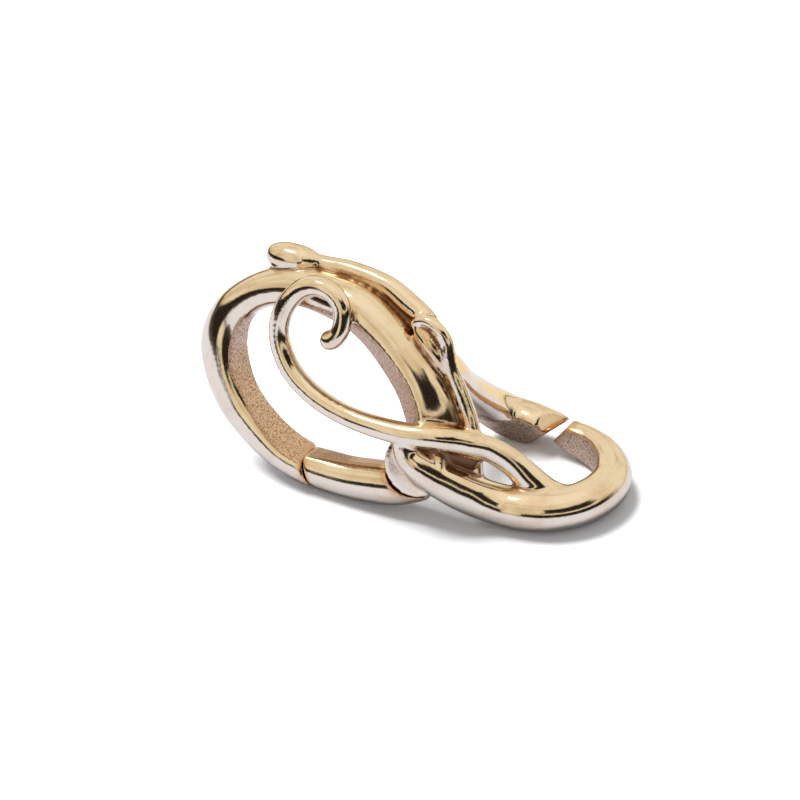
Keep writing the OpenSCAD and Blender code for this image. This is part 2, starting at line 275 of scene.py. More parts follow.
# Where the seam's arc cuts the ring: middle and size of the block that bounds it.
SEAM_END_AT = (0.5, -6)
SEAM_END_SIZE = (4, 5, CUT_SIZE)
# Smoothing passes over the joined skins.
CASTING_PASSES = 12
GATE_PASSES = 10
# Smoothing rounds that find narrow crevices and broad dips in a skin, and the hollow at
# which their marks reach 1.
CREVICE_ROUNDS = 8
DIP_ROUNDS = 60
HOLLOW_FULL = 2
# How far the brown of a cut end or a seam reaches, how far along the seam it goes, and how
# strong stains are. The webs' dark stain is painted shade: it darkens the slots and the recess
# that the webs close, on their front only.
BURN = 0.7
SEAM_SPAN = 2.8
CUT_STAIN = 0.6
SEAM_STAIN = 0.5
WEB_SHADE = 0.9
HIDDEN_WEB_SHADE = 0.95
LEAF_STAIN = 0.35
POST_STAIN = 0.2
# How matte the gate's flat is, where the ring's walls are 1.
GATE_MATTE = 0.4
# Round wires of the casting. Columns: name, rows, the wire's size, stain of its front, which on
# the webs is painted shade
ROUND_WIRES = (
    ("tendril", TENDRIL_ROWS, "tendril", 0),
    ("rail", RAIL_ROWS, "rail", 0),
    ("knob_post", KNOB_POST_ROWS, "rail", POST_STAIN),
    ("rail_web", RAIL_WEB_ROWS, "rail", HIDDEN_WEB_SHADE),
    ("bud_web", BUD_WEB_ROWS, "stem", HIDDEN_WEB_SHADE),
    ("stem", STEM_ROWS, "stem", 0),
)

# The gold's noises. Columns: features per metre, detail, roughness
SPECKLE = (7000, 3, 0.7)
PATCH = (600, 4, 0.65)
GRAIN = (7500, 4, 0.75)
RIPPLE = (500, 1, 0.4)
PITS = (5000, 4, 0.7)
WIPES = (1, 3)
# How far the speckle swings each edge.
SKIN_SWING = 1.1
RIM_SWING = 0.5
STAIN_SWING = 0.6
# Where each smooth step starts and ends, then its share at either end if not 0 and 1.
SKIN_EDGE = (0.44, 0.56)
RIM = (0.02, 0.16, 0.45, 0.70)
NEAR_WALL = (0.005, 0.06, 0.0, 0.9)
PATCH_EDGE = (0.46, 0.70, 0.0, 0.5)
DIP_EDGE = (0.0, 0.14)
CREVICE_EDGE = (0.11, 0.36)
GRAIN_EDGE = (0.40, 0.56)
COPPERY = (0.1, 0.5)
BLACKENED = (0.53, 0.87)
# Polishing wipes: their turn, their scale along and across, and how they change the
# roughness. Tarnish and the painted shade of crevices and webs add to it.
WIPE_TURN = (0.3, 0.5, 0.7)
WIPE_SCALE = (700, 12000, 12000)
WIPE_EDGE = (0.35, 0.75)
WIPE_SHARES = (0.8, 1.3)
TARNISH_AND_SHADE_DULL = 0.25
# Bumps: depth in metres and strength.
GRAIN_DEEP = 0.00005
GRAIN_STRENGTH = 0.9
RIPPLE_DEEP = 0.00004
RIPPLE_STRENGTH = 0.5
PITS_DEEP = 0.000008
PITS_STRENGTH = 0.4

# The studio as the metal sees it: heights as the sine of the elevation, turns in degrees
# from the front to the right, distances in metres.
DARK_ROOM = (0.02, 0.015, 0.012)
# The horizon's top climbs from the first height to the second over its turns, and drops
# to a share of that in the gap. The gap starts, is full, starts to fade and is gone.
HORIZON_TURN = (-100, -35)
HORIZON = (0.02, 0.25)
HORIZON_EDGE = 0.03
HORIZON_GAP = (-19, -16, 6, 11)
GAP_SHARE = 0.1
# Where the dome turns into its parts behind and overhead.
BEHIND = (95, 130)
OVERHEAD = (0.82, 0.95)
# Noises of the dome's folds and of the ragged edges, and how far the edges swing in turn,
# in radians, and in height.
FOLDS = (2.6, 3)
FOLDS_EDGE = (0.45, 0.66, 0.0, 0.85)
RAGGED = (9, 3, 0.6)
RAGGED_TURN = 0.5
RAGGED_RISE = 0.12
# The paper gets less of the dome than the metal, so the key lamp's shadows show.
DOME_ON_PAPER = (0.50, 0.505, 0.52)
# Dark screens: the turns and the elevations, in degrees, where each starts to show, is
# full, starts to fade and is gone.
SCREENS = (
    ((24, 28, 86, 92), (20, 23, 42, 46)),
)
# Painted reflection: to all rays but the camera's, the paper ends in the dark at a distance
# from the clasp, and a warm card is painted on it behind the clasp; the camera sees plain paper.
PAPER_END = (0.07, 0.10)
REFLECTED_CARD = (0.50, 0.44, 0.33)
REFLECTED_CARD_START = (0.012, 0.022)
TABLE_HALF = 3.0
PAPER_ROUGH = 0.9
PAPER_SHINE = 0.2
# Columns: name, place, diameter, power in watts, whether the metal mirrors it
LAMPS = (
    ("glint_lamp", (-0.25, -0.05, 0.75), 0.22, 0.4, True),
    ("key_lamp", (-0.60, 0.13, 1.0), 0.8, 28.0, False),
)
# The photograph's frame: pixels across, pixels to a millimetre, and the aim right of and
# above the sketch frame's origin, in millimetres.
FRAME_PIXELS = 800
PIXELS_PER_MM = 15
AIM = (-1.2, 2.67)
LENS = 900
SENSOR = 36
CLIP = (0.01, 20)


def millimetres(name, description, default):
    """A size that the user can change."""
    return bpy.props.FloatProperty(
        name=name, description=f"{description}, mm", min=0.0, default=default)


def tint(name, description, default):
    """A colour of metal or light that the user can change."""
    return bpy.props.FloatVectorProperty(
        name=name, description=description, subtype="COLOR", size=3, min=0.0, soft_max=1.0,
        default=default)


class ClaspSizes(bpy.types.PropertyGroup):
    """Wire sizes and fits, in millimetres."""
    ring_thick: millimetres("Ring thickness", "Ring wire, inside to outside", 2.7)
    ring_deep: millimetres("Ring depth", "Ring wire, front to back", 2.9)
    hook_thick: millimetres("Hook thickness", "Hook wire, inside to outside", 2.9)
    hook_deep: millimetres("Hook depth", "Hook wire, top to bottom", 2.9)
    tendril: millimetres("Tendril wire", "Round wire of the tendril", 1.45)
    rail: millimetres("Rail wire", "Round wire of rail and knob", 1.3)
    stem: millimetres("Stem wire", "Round wire of bud rim and stem", 1.0)
    slit: millimetres("Slit", "Gap between arm and hook", 0.6)
    seam: millimetres("Seam", "Gap at the free end of the gate", 0.1)
    seam_r: millimetres("Seam radius", "Seam arc about the pivot", 8.25)
    knuckle_r: millimetres("Knuckle radius", "Hinge knuckle", 2.2)
    cup_gap: millimetres("Cup gap", "Gap between knuckle and gate", 0.2)
    tongue: millimetres("Tongue", "Thickness of the gate's tongue", 1.0)
    side_play: millimetres("Side play", "Play of the tongue in its slot", 0.05)
    pin: millimetres("Pin", "Hinge pin diameter", 0.8)
    casting_grid: millimetres("Casting grid", "Mesh size of the casting", 0.12)
    gate_grid: millimetres("Gate grid", "Mesh size of the gate", 0.08)


class ClaspFinish(bpy.types.PropertyGroup):
    """Colours, finishes and the camera's angles."""
    gold: tint("Gold", "Polished gold", (0.85, 0.72, 0.54))
    # The warm gold also paints shade into the dips and the webs' slots.
    warm: tint("Warm gold", "Warmer patches and hollows", (0.74, 0.50, 0.30))
    matte: tint("Matte gold", "Cast skin of the inner walls", (0.88, 0.66, 0.48))
    burnt: tint("Burnt rim", "Brown line round a patch of cast skin", (0.42, 0.25, 0.13))
    # Painted shade: this dark brown fills the crevices and the webs' slots; at cut ends and the
    # seam it is tarnish where their stain is strong.
    deep: tint("Crevice", "Tarnish in the tightest corners", (0.20, 0.10, 0.05))
    polish: bpy.props.FloatProperty(
        name="Polish", description="Roughness of the polished gold", subtype="FACTOR",
        min=0.0, max=1.0, default=0.11)
    cast_skin: bpy.props.FloatProperty(
        name="Cast skin", description="Roughness of the matte walls", subtype="FACTOR",
        min=0.0, max=1.0, default=0.42)
    table: tint("Table", "Studio table", (0.93, 0.94, 0.96))
    table_in_metal: tint("Table in metal", "Table as the metal sees it", (0.42, 0.45, 0.56))
    dome: tint("Dome", "Light of the studio's dome", (0.92, 0.85, 0.70))
    dome_dim: tint("Dome's folds", "Light of the dome's dimmer folds", (0.68, 0.575, 0.40))
    dome_top: tint("Dome overhead", "Light from straight above", (1.02, 0.95, 0.82))
    dome_behind: tint("Dome behind", "Dome behind the clasp", (0.95, 0.88, 0.74))
    camera_turn: bpy.props.FloatProperty(
        name="Camera turn", description="Camera's turn about the vertical", subtype="ANGLE",
        default=math.radians(26))
    camera_rise: bpy.props.FloatProperty(
        name="Camera rise", description="Camera's angle above the table", subtype="ANGLE",
        default=math.radians(40))


def radians(angles):
    """Angles in degrees as a list in radians."""
    return [math.radians(angle) for angle in angles]


def smooth_step(x, low, high):
    """0 up to low, 1 from high, and a smooth step between them."""
    t = np.clip((x - low) / (high - low), 0.0, 1.0)
    return t * t * (3 - 2 * t)


def lengths(v):
    """The length of each vector."""
    return np.sqrt((v * v).sum(axis=-1, keepdims=True))


def fine(rows, steps=STEPS):
    """The rows of a table with smooth steps between them."""
    rows = np.array(rows, float)
    held = np.vstack([rows[:1], rows, rows[-1:]])
    out = []
    for a, b, c, d in zip(held, held[1:], held[2:], held[3:]):
        for t in np.arange(steps) / steps:
            out.append(0.5 * (2 * b + (c - a) * t + (2 * a - 5 * b + 4 * c - d) * t * t
                              + (3 * b - 3 * c + d - a) * t * t * t))
    out.append(rows[-1])
    return np.array(out)


class Wire:
    """A wire that follows a table: its centre line, frame and size at each section."""

    def __init__(self, rows):
        rows = fine(rows)
        self.centre = rows[:, :3]
        ends = np.vstack([self.centre[:1], self.centre, self.centre[-1:]])
        self.along = ends[2:] - ends[:-2]
        self.along /= lengths(self.along)
        flat = rows[:, 3:6]
        flat = flat - self.along * (flat * self.along).sum(axis=1, keepdims=True)
        self.flat_way = flat / lengths(flat)
        self.side_way = np.cross(self.along, self.flat_way)
        self.thick = rows[:, 6]
        self.deep = rows[:, 7]
        self.flat = rows[:, 8]

    def moved(self, place):
        """The same wire after a move by a 4x4 matrix."""
        turn = np.array(place.to_3x3())
        self.centre = self.centre @ turn.T + np.array(place.translation)
        self.along = self.along @ turn.T
        self.flat_way = self.flat_way @ turn.T
        self.side_way = self.side_way @ turn.T
        return self

    def mesh(self, name):
        """The wire's skin, round but for its flat, closed at both ends."""
        angle = 2 * math.pi * np.arange(SECTION_POINTS) / SECTION_POINTS
        p = np.minimum(np.cos(angle) * self.thick[:, None] / 2,
                       (self.flat * self.thick / 2)[:, None])
        q = np.sin(angle) * self.deep[:, None] / 2
        points = (self.centre[:, None] + p[..., None] * self.flat_way[:, None]
                  + q[..., None] * self.side_way[:, None]).reshape(-1, 3)
        n = len(self.centre)
        m = SECTION_POINTS
        faces = [(i * m + k, i * m + (k + 1) % m, (i + 1) * m + (k + 1) % m, (i + 1) * m + k)
                 for i in range(n - 1) for k in range(m)]
        faces.append(tuple(reversed(range(m))))
        faces.append(tuple((n - 1) * m + k for k in range(m)))
        return solid(name, points, faces)


def solid(name, points, faces):
    """A new object from points and faces, with its faces turned outwards."""
    mesh = bpy.data.meshes.new(name)
    mesh.from_pydata([tuple(p) for p in points], [], faces)
    work = bmesh.new()
    work.from_mesh(mesh)
    bmesh.ops.recalc_face_normals(work, faces=work.faces)
    work.to_mesh(mesh)
    work.free()
    return link(name, mesh)


def link(name, data):
    """A new object of the scene that shows some data."""
    obj = bpy.data.objects.new(name, data)
    bpy.context.scene.collection.objects.link(obj)
    return obj


def to_hole(row, sizes):
    """A row of the ring plane, with a flat that looks at the hole and rolls forward."""
    way = Vector((HOLE_AT[0] - row[0], HOLE_AT[1] - row[1])).normalized()
    roll = math.radians(row[6])
    return (row[0], row[1], row[2], way.x * math.cos(roll), way.y * math.cos(roll),
            math.sin(roll), row[3] * sizes.ring_thick, row[4] * sizes.ring_deep, row[5])


def of_hook(row, sizes):
    """A row whose shares of the hook wire become sizes."""
    return row[:6] + (row[6] * sizes.hook_thick, row[7] * sizes.hook_deep, row[8])


def ring_place():
    """From the ring plane to the sketch frame."""
    return Matrix.Translation(RING_AT) @ Matrix.Rotation(RING_LEAN, 4, "X")


def pivot_place():
    """The hinge's axis, on the ring plane."""
    return ring_place() @ Matrix.Translation((PIVOT[0], PIVOT[1], 0))


def forward():
    """The way the ring's front looks."""
    return ring_place().to_3x3() @ Vector((0, 0, 1))


def drum(name, radius, height, place, middle=0.0):
    """A cylinder about the Z axis of a place, centred at middle."""
    mesh = bpy.data.meshes.new(name)
    work = bmesh.new()
    bmesh.ops.create_cone(work, cap_ends=True, segments=DRUM_SIDES, radius1=radius,
                          radius2=radius, depth=height, matrix=Matrix.Translation((0, 0, middle)))
    work.to_mesh(mesh)
    work.free()
    mesh.transform(place)
    return link(name, mesh)


def block(name, size, place):
    """A box centred on a place."""
    mesh = bpy.data.meshes.new(name)
    work = bmesh.new()
    bmesh.ops.create_cube(work, size=1, matrix=Matrix.Diagonal((*size, 1)))
    work.to_mesh(mesh)
    work.free()
    mesh.transform(place)
    return link(name, mesh)


def cut_block(point, out, size=CUT_SIZE):
    """A block whose face is centred on a point and that lies on the outer side of it."""
    out = Vector(out).normalized()
    turn = (Matrix.Rotation(math.atan2(out.y, out.x), 4, "Z")
            @ Matrix.Rotation(math.acos(out.z), 4, "Y"))
    lift = Matrix.Translation((0, 0, size / 2))
    return block("cut_block", (size,) * 3, Matrix.Translation(point) @ turn @ lift)


def baked(obj):
    """Puts the result of the modifiers into the object's mesh and removes them."""
    seen = obj.evaluated_get(bpy.context.evaluated_depsgraph_get())
    mesh = bpy.data.meshes.new_from_object(seen)
    obj.modifiers.clear()
    old = obj.data
    obj.data = mesh
    bpy.data.meshes.remove(old)
    return obj


def cut(obj, *tools, operation="DIFFERENCE"):
    """Cuts each tool out of an object, or keeps what they share."""
    for tool in tools:
        change = obj.modifiers.new("cut", "BOOLEAN")
        change.operation = operation
        change.solver = "EXACT"
        change.object = tool
        baked(obj)
    return obj


def away(*objects):
    """Removes objects and their meshes."""
    for obj in objects:
        mesh = obj.data
        bpy.data.objects.remove(obj)
        bpy.data.meshes.remove(mesh)


def round_wire_tree():
    """Geometry Nodes: a round wire through a chain of points, as wide as their share says."""
    tree = bpy.data.node_groups.new("Round wire", "GeometryNodeTree")
    face = tree.interface
    face.new_socket("Geometry", in_out="INPUT", socket_type="NodeSocketGeometry")
    face.new_socket("Wire", in_out="INPUT", socket_type="NodeSocketFloat")
    face.new_socket("Rings per row", in_out="INPUT", socket_type="NodeSocketInt")
    face.new_socket("Sides", in_out="INPUT", socket_type="NodeSocketInt")
    face.new_socket("Metal", in_out="INPUT", socket_type="NodeSocketMaterial")
    face.new_socket("Geometry", in_out="OUTPUT", socket_type="NodeSocketGeometry")
    new = tree.nodes.new
    join = tree.links.new
    given = new("NodeGroupInput")
    done = new("NodeGroupOutput")
    line = new("GeometryNodeMeshToCurve")
    kind = new("GeometryNodeCurveSplineType")
    kind.spline_type = "CATMULL_ROM"
    rings = new("GeometryNodeSetSplineResolution")
    share = new("GeometryNodeInputNamedAttribute")
    share.inputs["Name"].default_value = "share"
    half = new("ShaderNodeMath")
    half.operation = "MULTIPLY"
    half.inputs[1].default_value = 0.5
    width = new("ShaderNodeMath")
    width.operation = "MULTIPLY"
    profile = new("GeometryNodeCurvePrimitiveCircle")
    profile.inputs["Radius"].default_value = 1.0
    skin = new("GeometryNodeCurveToMesh")
    skin.inputs["Fill Caps"].default_value = True
    real = new("GeometryNodeRealizeInstances")
    metal = new("GeometryNodeSetMaterial")
    join(given.outputs["Geometry"], line.inputs["Mesh"])
    join(line.outputs["Curve"], kind.inputs["Curve"])
    join(kind.outputs["Curve"], rings.inputs["Geometry"])
    join(given.outputs["Rings per row"], rings.inputs["Resolution"])
    join(given.outputs["Wire"], half.inputs[0])
    join(half.outputs[0], width.inputs[0])
    join(share.outputs["Attribute"], width.inputs[1])
    join(given.outputs["Sides"], profile.inputs["Resolution"])
    join(rings.outputs["Geometry"], skin.inputs["Curve"])
    join(profile.outputs["Curve"], skin.inputs["Profile Curve"])
    join(width.outputs[0], skin.inputs["Scale"])
    join(skin.outputs["Mesh"], real.inputs["Geometry"])
    join(real.outputs["Geometry"], metal.inputs["Geometry"])
    join(given.outputs["Metal"], metal.inputs["Material"])
    join(metal.outputs["Geometry"], done.inputs["Geometry"])
    return tree


def round_wire(name, rows, wire, material):
    """A round wire through the rows, made by the round wire tree."""
    mesh = bpy.data.meshes.new(name)
    mesh.from_pydata([row[:3] for row in rows], [(i, i + 1) for i in range(len(rows) - 1)], [])
    share = mesh.attributes.new("share", "FLOAT", "POINT")
    share.data.foreach_set("value", [row[3] for row in rows])
    obj = link(name, mesh)
    tree = bpy.data.node_groups.get("Round wire") or round_wire_tree()
    made = obj.modifiers.new("round_wire", "NODES")
    made.node_group = tree
    inputs = {s.name: s.identifier for s in tree.interface.items_tree
              if s.item_type == "SOCKET" and s.in_out == "INPUT"}
    made[inputs["Wire"]] = float(wire)
    made[inputs["Rings per row"]] = STEPS
    made[inputs["Sides"]] = SECTION_POINTS // 2
    made[inputs["Metal"]] = material
    return baked(obj)


def one_skin(name, parts, grid, passes):
    """Joins the parts, which overlap, and draws one even skin over them."""
    work = bmesh.new()
    for part in parts:
        work.from_mesh(part.data)
    mesh = bpy.data.meshes.new(name)
    work.to_mesh(mesh)
    work.free()
    away(*parts)
    obj = link(name, mesh)
    skin = obj.modifiers.new("skin", "REMESH")
    skin.mode = "VOXEL"
    skin.voxel_size = grid * 1
    ease = obj.modifiers.new("ease", "SMOOTH")
    ease.factor = 0.5
    ease.iterations = passes
    return baked(obj)


def points_of(mesh):
    """The points of a mesh and their normals."""
    points = np.empty(len(mesh.vertices) * 3)
    mesh.vertices.foreach_get("co", points)
    normals = np.empty(len(mesh.vertices) * 3)
    mesh.vertices.foreach_get("normal", normals)
    return points.reshape(-1, 3), normals.reshape(-1, 3)


def nearest_sections(points, wire):
    """For each point, the nearest section of a wire and how far off its skin it lies."""
    tree = KDTree(len(wire.centre))
    for i, centre in enumerate(wire.centre):
        tree.insert(centre, i)
    tree.balance()
    near = np.array([tree.find(p)[1] for p in points])
    gap = points - wire.centre[near]
    p = (gap * wire.flat_way[near]).sum(axis=1)
    q = (gap * wire.side_way[near]).sum(axis=1)
    r = (gap * wire.along[near]).sum(axis=1)
    round_part = np.sqrt((2 * p / wire.thick[near]) ** 2 + (2 * q / wire.deep[near]) ** 2)
    flat_part = 2 * p / (wire.flat[near] * wire.thick[near])
    reach = np.maximum(round_part, flat_part)
    off = np.abs(reach - 1) * np.minimum(wire.thick[near], wire.deep[near]) / 2
    off = off + np.maximum(np.abs(r) - END_REACH, 0)
    return near, off


def skins(mesh, wires):
    """How matte and how stained each point is, from the wire whose skin it lies on; on the
    webs the stain is painted shade. The wires come with the matte of their flats and the stain of
    their front."""
    points, normals = points_of(mesh)
    front = smooth_step(normals @ np.array(forward()), *FRONT_EDGE)
    best = np.full(len(points), np.inf)
    matte = np.zeros(len(points))
    stain_and_shade = np.zeros(len(points))
    for wire, wire_matte, wire_stain_and_shade in wires:
        near, off = nearest_sections(points, wire)
        facing = (normals * wire.flat_way[near]).sum(axis=1)
        cut_away = 1 - wire.flat[near]
        here = smooth_step(facing, *WALL_FACING) * smooth_step(cut_away, *WALL_CUT)
        closer = off < best
        matte[closer] = wire_matte * here[closer]
        stain_and_shade[closer] = wire_stain_and_shade * front[closer]
        best[closer] = off[closer]
    return matte, stain_and_shade


def near_plane(mesh, at, out, reach, radius):
    """1 on a cut face at a place, falling to 0 at a distance from its plane."""
    gap = points_of(mesh)[0] - np.array(at)
    off = np.abs(gap @ np.array(Vector(out).normalized()))
    return (1 - smooth_step(off, CUT_FACE, reach)) * (lengths(gap)[:, 0] < radius)


def near_drum(mesh, place, radius, reach):
    """1 at a radius from the Z axis of a place, falling to 0 at a distance from it."""
    turn = np.array(place.to_3x3())
    inside = (points_of(mesh)[0] - np.array(place.translation)) @ turn
    off = np.abs(lengths(inside[:, :2])[:, 0] - radius)
    return 1 - smooth_step(off, CUT_FACE, reach)


def hollows(mesh, scales):
    """How hollow the skin is at each point, for each number of smoothing rounds: above 0
    in a crevice, below 0 on an edge."""
    points, normals = points_of(mesh)
    edges = np.empty(len(mesh.edges) * 2, dtype=int)
    mesh.edges.foreach_get("vertices", edges)
    a, b = edges.reshape(-1, 2).T
    ends = np.concatenate((a, b))
    others = np.concatenate((b, a))
    count = np.maximum(np.bincount(ends, minlength=len(points)), 1)

    def mean(values):
        return np.bincount(ends, values[others], minlength=len(points)) / count

    pull = np.stack([mean(points[:, k]) for k in range(3)], axis=1) - points
    size = lengths(points[a] - points[b]).mean()
    hollow = (pull * normals).sum(axis=1) / size ** 2
    found = []
    for i in range(1, max(scales) + 1):
        hollow = 0.5 * hollow + 0.5 * mean(hollow)
        if i in scales:
            found.append(hollow.copy())
    return found


def mark(mesh, name, values):
    """Writes a value for each point, which the materials read by its name."""
    layer = mesh.attributes.new(name, "FLOAT", "POINT")
    layer.data.foreach_set("value", values.astype(np.float32))


def settle(obj, material, matte, stain_and_shade):
    """Marks walls, stains (painted shade on the webs) and hollows (for painted shade in dips and
    crevices), brings the mesh to the frame, gives it its metal.
    """
    mesh = obj.data
    mark(mesh, "matte", matte)
    mark(mesh, "stain_and_shade", stain_and_shade)
    crevice, dip = hollows(mesh, (CREVICE_ROUNDS, DIP_ROUNDS))
    mark(mesh, "crevice", np.clip(crevice / HOLLOW_FULL, -1, 1))
    mark(mesh, "dip", np.clip(dip / HOLLOW_FULL, -1, 1))
    mesh.transform(Matrix.Scale(MM, 4) @ Matrix.Translation(REST_SHIFT))
    mesh.materials.clear()
    mesh.materials.append(material)
    mesh.polygons.foreach_set("use_smooth", [True] * len(mesh.polygons))
    mesh.update()


class Graph:
    """A shader node tree and the few kinds of step that the looks are made of."""

    def __init__(self, tree):
        self.tree = tree
        tree.nodes.clear()

    def new(self, kind, **settings):
        node = self.tree.nodes.new(kind)
        for name, value in settings.items():
            setattr(node, name, value)
        return node

    def put(self, socket, value):
        """Links a socket's source to an input, or sets the input to a plain value."""
        if hasattr(value, "links"):
            self.tree.links.new(value, socket)
        else:
            socket.default_value = value

    def attribute(self, name):
        """A value that is marked on the mesh."""
        return self.new("ShaderNodeAttribute", attribute_name=name).outputs["Fac"]

    def noise(self, place, scale, detail=2.0, roughness=0.5):
        node = self.new("ShaderNodeTexNoise")
        node.inputs["Scale"].default_value = scale
        node.inputs["Detail"].default_value = detail
        node.inputs["Roughness"].default_value = roughness
        self.put(node.inputs["Vector"], place)
        return node.outputs["Fac"]

    def between(self, value, low, high, out_low=0.0, out_high=1.0):
        """A smooth step of a value from out_low at low to out_high at high."""
        node = self.new("ShaderNodeMapRange", interpolation_type="SMOOTHSTEP")
        for name, number in (("From Min", low), ("From Max", high),
                             ("To Min", out_low), ("To Max", out_high)):
            self.put(node.inputs[name], number)
        self.put(node.inputs["Value"], value)
        return node.outputs["Result"]

    def bearing(self, place):
        """A place's turn from the front, its y and its z."""
        split = self.new("ShaderNodeSeparateXYZ")
        self.put(split.inputs[0], place)
        x, y, z = split.outputs
        return self.maths("ARCTAN2", x, self.maths("MULTIPLY", y, -1.0)), y, z

    def window(self, value, start, full, fade, gone):
        """1 between full and fade, 0 outside start and gone."""
        return self.maths("MULTIPLY", self.between(value, start, full),
                          self.between(value, fade, gone, 1.0, 0.0))

    def maths(self, operation, *values):
        """The result of a sum on one to three values."""
        node = self.new("ShaderNodeMath", operation=operation)
        for socket, value in zip(node.inputs, values):
            self.put(socket, value)
        return node.outputs[0]

    def mixed(self, factor, a, b):
        """A colour between two colours."""
        node = self.new("ShaderNodeMix", data_type="RGBA")
        self.put(node.inputs[0], factor)
        for socket, value in ((node.inputs["A"], a), (node.inputs["B"], b)):
            self.put(socket, value if hasattr(value, "links") else (*value, 1))
        return node.outputs["Result"]

    def bumped(self, height, distance, strength, before=None):
        node = self.new("ShaderNodeBump")
        node.inputs["Distance"].default_value = distance
        self.put(node.inputs["Strength"], strength)
        self.put(node.inputs["Height"], height)
        if before:
            self.put(node.inputs["Normal"], before)
        return node.outputs["Normal"]


def gold_material(name, finish):
    """Polished gold that breaks up into a grainy cast skin where 'matte' says, with painted
    shade: coppery in dips and dark in crevices."""
    made = bpy.data.materials.new(name)
    made.use_nodes = True
    graph = Graph(made.node_tree)
    out = graph.new("ShaderNodeOutputMaterial")
    gold = graph.new("ShaderNodeBsdfPrincipled")
    gold.inputs["Metallic"].default_value = 1.0
    graph.put(out.inputs["Surface"], gold.outputs["BSDF"])
    place = graph.new("ShaderNodeTexCoord").outputs["Object"]

    # A speckle makes the edges of skin, rim and stain ragged, each by its own amount; on the webs
    # that stain is painted shade.
    swing = graph.maths("SUBTRACT", graph.noise(place, *SPECKLE), 0.5)
    matte = graph.attribute("matte")
    skin = graph.between(graph.maths("MULTIPLY_ADD", swing, SKIN_SWING, matte), *SKIN_EDGE)
    rim = graph.window(graph.maths("MULTIPLY_ADD", swing, RIM_SWING, matte), *RIM)
    burnt = graph.maths("MULTIPLY", rim, graph.between(matte, *NEAR_WALL))
    # Painted shade: the webs' stain turns coppery, then dark brown; elsewhere the stain is
    # tarnish at cut ends and the seam, and the tint of leaf and post.
    ragged_stain_and_shade = graph.maths("MULTIPLY_ADD", swing, STAIN_SWING, graph.attribute("stain_and_shade"))
    # Painted shade: crevices and the webs' strong stain turn dark brown.
    tarnish_and_shade = graph.maths("MAXIMUM", graph.between(ragged_stain_and_shade, *BLACKENED),
                          graph.between(graph.attribute("crevice"), *CREVICE_EDGE))

    patches = graph.between(graph.noise(place, *PATCH), *PATCH_EDGE)
    colour = graph.mixed(patches, finish.gold, finish.warm)
    # Painted shade: dips turn warm and darker.
    dip_shade = graph.between(graph.attribute("dip"), *DIP_EDGE)
    colour = graph.mixed(dip_shade, colour, finish.warm)
    grain = graph.noise(place, *GRAIN)
    cast = graph.mixed(graph.between(grain, *GRAIN_EDGE), finish.burnt, finish.matte)
    colour = graph.mixed(skin, colour, cast)
    colour = graph.mixed(burnt, colour, finish.burnt)
    colour = graph.mixed(graph.between(ragged_stain_and_shade, *COPPERY), colour, finish.warm)
    colour = graph.mixed(tarnish_and_shade, colour, finish.deep)
    graph.put(gold.inputs["Base Color"], colour)

    stretch = graph.new("ShaderNodeMapping")
    stretch.inputs["Rotation"].default_value = WIPE_TURN
    stretch.inputs["Scale"].default_value = WIPE_SCALE
    graph.put(stretch.inputs["Vector"], place)
    wipes = graph.noise(stretch.outputs["Vector"], *WIPES)
    least, most = (finish.polish * share for share in WIPE_SHARES)
    polish = graph.between(wipes, *WIPE_EDGE, least, most)
    rough = graph.new("ShaderNodeMix", data_type="FLOAT")
    graph.put(rough.inputs["Factor"], skin)
    graph.put(rough.inputs["A"], polish)
    graph.put(rough.inputs["B"], finish.cast_skin)
    dull = graph.maths("MULTIPLY_ADD", tarnish_and_shade, TARNISH_AND_SHADE_DULL, rough.outputs["Result"])
    graph.put(gold.inputs["Roughness"], dull)

    blasted = graph.bumped(grain, GRAIN_DEEP, graph.maths("MULTIPLY", skin, GRAIN_STRENGTH))
    ripple = graph.bumped(graph.noise(place, *RIPPLE), RIPPLE_DEEP, RIPPLE_STRENGTH, blasted)
    pits = graph.bumped(graph.noise(place, *PITS), PITS_DEEP, PITS_STRENGTH, ripple)
    graph.put(gold.inputs["Normal"], pits)
    return made


